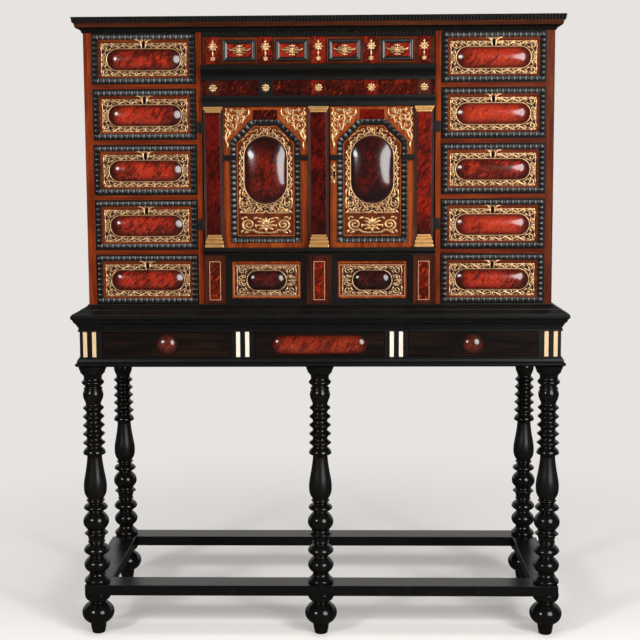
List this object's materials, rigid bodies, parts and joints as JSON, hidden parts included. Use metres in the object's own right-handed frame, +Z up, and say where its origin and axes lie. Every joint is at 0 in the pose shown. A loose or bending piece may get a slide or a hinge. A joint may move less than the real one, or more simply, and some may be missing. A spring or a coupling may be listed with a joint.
{
  "type": "cabinet on stand",
  "caption": "Cabinet of drawers round portico doors with shell cushions and ripple mouldings, on a stand with turned legs and stretchers.",
  "frame": {"origin": "on the floor, under the middle of the whole cabinet", "axes": "+Z up, +X to the right as seen from the front, front towards -Y"},
  "size_m": [1.25, 0.508, 1.575],
  "materials": {
    "ebony": "ebonised and polished",
    "rosewood": "polished veneer",
    "shell": "polished red tortoiseshell",
    "gilt": "gilt",
    "bone": "polished bone",
    "oak": "plain oak, unpolished",
    "iron": "blackened"
  },
  "bodies": {
    "carcass": {"front_left_leg": "ebony", "front_middle_leg": "ebony", "front_right_leg": "ebony", "rear_left_leg": "ebony", "rear_right_leg": "ebony", "feet": "ebony", "front_stretcher": "ebony", "rear_stretcher": "ebony", "side_stretchers": "ebony", "stand_bottom_board": "ebony", "stand_front_frame": "ebony", "stand_side_rails": "ebony", "stand_back_rail": "ebony", "stand_apron_moulding": "ebony", "stand_cornice": "ebony", "case_cornice": "ebony", "entablature": "ebony", "waist_moulding": "ebony", "case_left_side": "rosewood", "case_right_side": "rosewood", "left_partition": "rosewood", "right_partition": "rosewood", "drawer_dividers": "rosewood", "pedestals": "rosewood", "case_bottom_board": "oak", "case_back_panel": "oak", "case_top": "oak", "middle_bay_boards": "oak", "stand_top_board": "oak", "stand_drawer_guides": "oak", "bone_strips": "bone", "hinge_case_leaves": "iron"},
    "left_door": {"left_door_leaf": "rosewood", "left_door_moulding": "ebony", "left_door_cushion": "shell", "left_pilaster": "shell", "centre_pilaster": "shell", "left_door_hinge_leaves": "iron"},
    "right_door": {"right_door_leaf": "rosewood", "right_door_moulding": "ebony", "right_door_cushion": "shell", "right_pilaster": "shell", "right_door_hinge_leaves": "iron"},
    "left_drawer_1": {"left_drawer_1": "rosewood"},
    "left_drawer_2": {"left_drawer_2": "rosewood"},
    "left_drawer_3": {"left_drawer_3": "rosewood"},
    "left_drawer_4": {"left_drawer_4": "rosewood"},
    "left_drawer_5": {"left_drawer_5": "rosewood"},
    "right_drawer_1": {"right_drawer_1": "rosewood"},
    "right_drawer_2": {"right_drawer_2": "rosewood"},
    "right_drawer_3": {"right_drawer_3": "rosewood"},
    "right_drawer_4": {"right_drawer_4": "rosewood"},
    "right_drawer_5": {"right_drawer_5": "rosewood"},
    "frieze_drawer": {"frieze_drawer": "rosewood"},
    "left_plinth_drawer": {"left_plinth_drawer": "rosewood"},
    "right_plinth_drawer": {"right_plinth_drawer": "rosewood"},
    "left_stand_drawer": {"left_stand_drawer": "ebony"},
    "middle_stand_drawer": {"middle_stand_drawer": "ebony"},
    "right_stand_drawer": {"right_stand_drawer": "ebony"}
  },
  "joints": [
    {"name": "left_door_hinge", "type": "hinge", "parent": "carcass", "child": "left_door", "pos_m": [-0.2911, -0.2166, 1.18], "axis": [0, 0, -1], "range_deg": [0, 90]},
    {"name": "right_door_hinge", "type": "hinge", "parent": "carcass", "child": "right_door", "pos_m": [0.2911, -0.2166, 1.18], "axis": [0, 0, 1], "range_deg": [0, 90]},
    {"name": "left_drawer_1_slide", "type": "slide", "parent": "carcass", "child": "left_drawer_1", "axis": [0, -1, 0], "range_m": [0, 0.3]},
    {"name": "left_drawer_2_slide", "type": "slide", "parent": "carcass", "child": "left_drawer_2", "axis": [0, -1, 0], "range_m": [0, 0.3]},
    {"name": "left_drawer_3_slide", "type": "slide", "parent": "carcass", "child": "left_drawer_3", "axis": [0, -1, 0], "range_m": [0, 0.3]},
    {"name": "left_drawer_4_slide", "type": "slide", "parent": "carcass", "child": "left_drawer_4", "axis": [0, -1, 0], "range_m": [0, 0.3]},
    {"name": "left_drawer_5_slide", "type": "slide", "parent": "carcass", "child": "left_drawer_5", "axis": [0, -1, 0], "range_m": [0, 0.3]},
    {"name": "right_drawer_1_slide", "type": "slide", "parent": "carcass", "child": "right_drawer_1", "axis": [0, -1, 0], "range_m": [0, 0.3]},
    {"name": "right_drawer_2_slide", "type": "slide", "parent": "carcass", "child": "right_drawer_2", "axis": [0, -1, 0], "range_m": [0, 0.3]},
    {"name": "right_drawer_3_slide", "type": "slide", "parent": "carcass", "child": "right_drawer_3", "axis": [0, -1, 0], "range_m": [0, 0.3]},
    {"name": "right_drawer_4_slide", "type": "slide", "parent": "carcass", "child": "right_drawer_4", "axis": [0, -1, 0], "range_m": [0, 0.3]},
    {"name": "right_drawer_5_slide", "type": "slide", "parent": "carcass", "child": "right_drawer_5", "axis": [0, -1, 0], "range_m": [0, 0.3]},
    {"name": "frieze_drawer_slide", "type": "slide", "parent": "carcass", "child": "frieze_drawer", "axis": [0, -1, 0], "range_m": [0, 0.3]},
    {"name": "left_plinth_drawer_slide", "type": "slide", "parent": "carcass", "child": "left_plinth_drawer", "axis": [0, -1, 0], "range_m": [0, 0.3]},
    {"name": "right_plinth_drawer_slide", "type": "slide", "parent": "carcass", "child": "right_plinth_drawer", "axis": [0, -1, 0], "range_m": [0, 0.3]},
    {"name": "left_stand_drawer_slide", "type": "slide", "parent": "carcass", "child": "left_stand_drawer", "axis": [0, -1, 0], "range_m": [0, 0.3]},
    {"name": "middle_stand_drawer_slide", "type": "slide", "parent": "carcass", "child": "middle_stand_drawer", "axis": [0, -1, 0], "range_m": [0, 0.3]},
    {"name": "right_stand_drawer_slide", "type": "slide", "parent": "carcass", "child": "right_stand_drawer", "axis": [0, -1, 0], "range_m": [0, 0.3]}
  ]
}
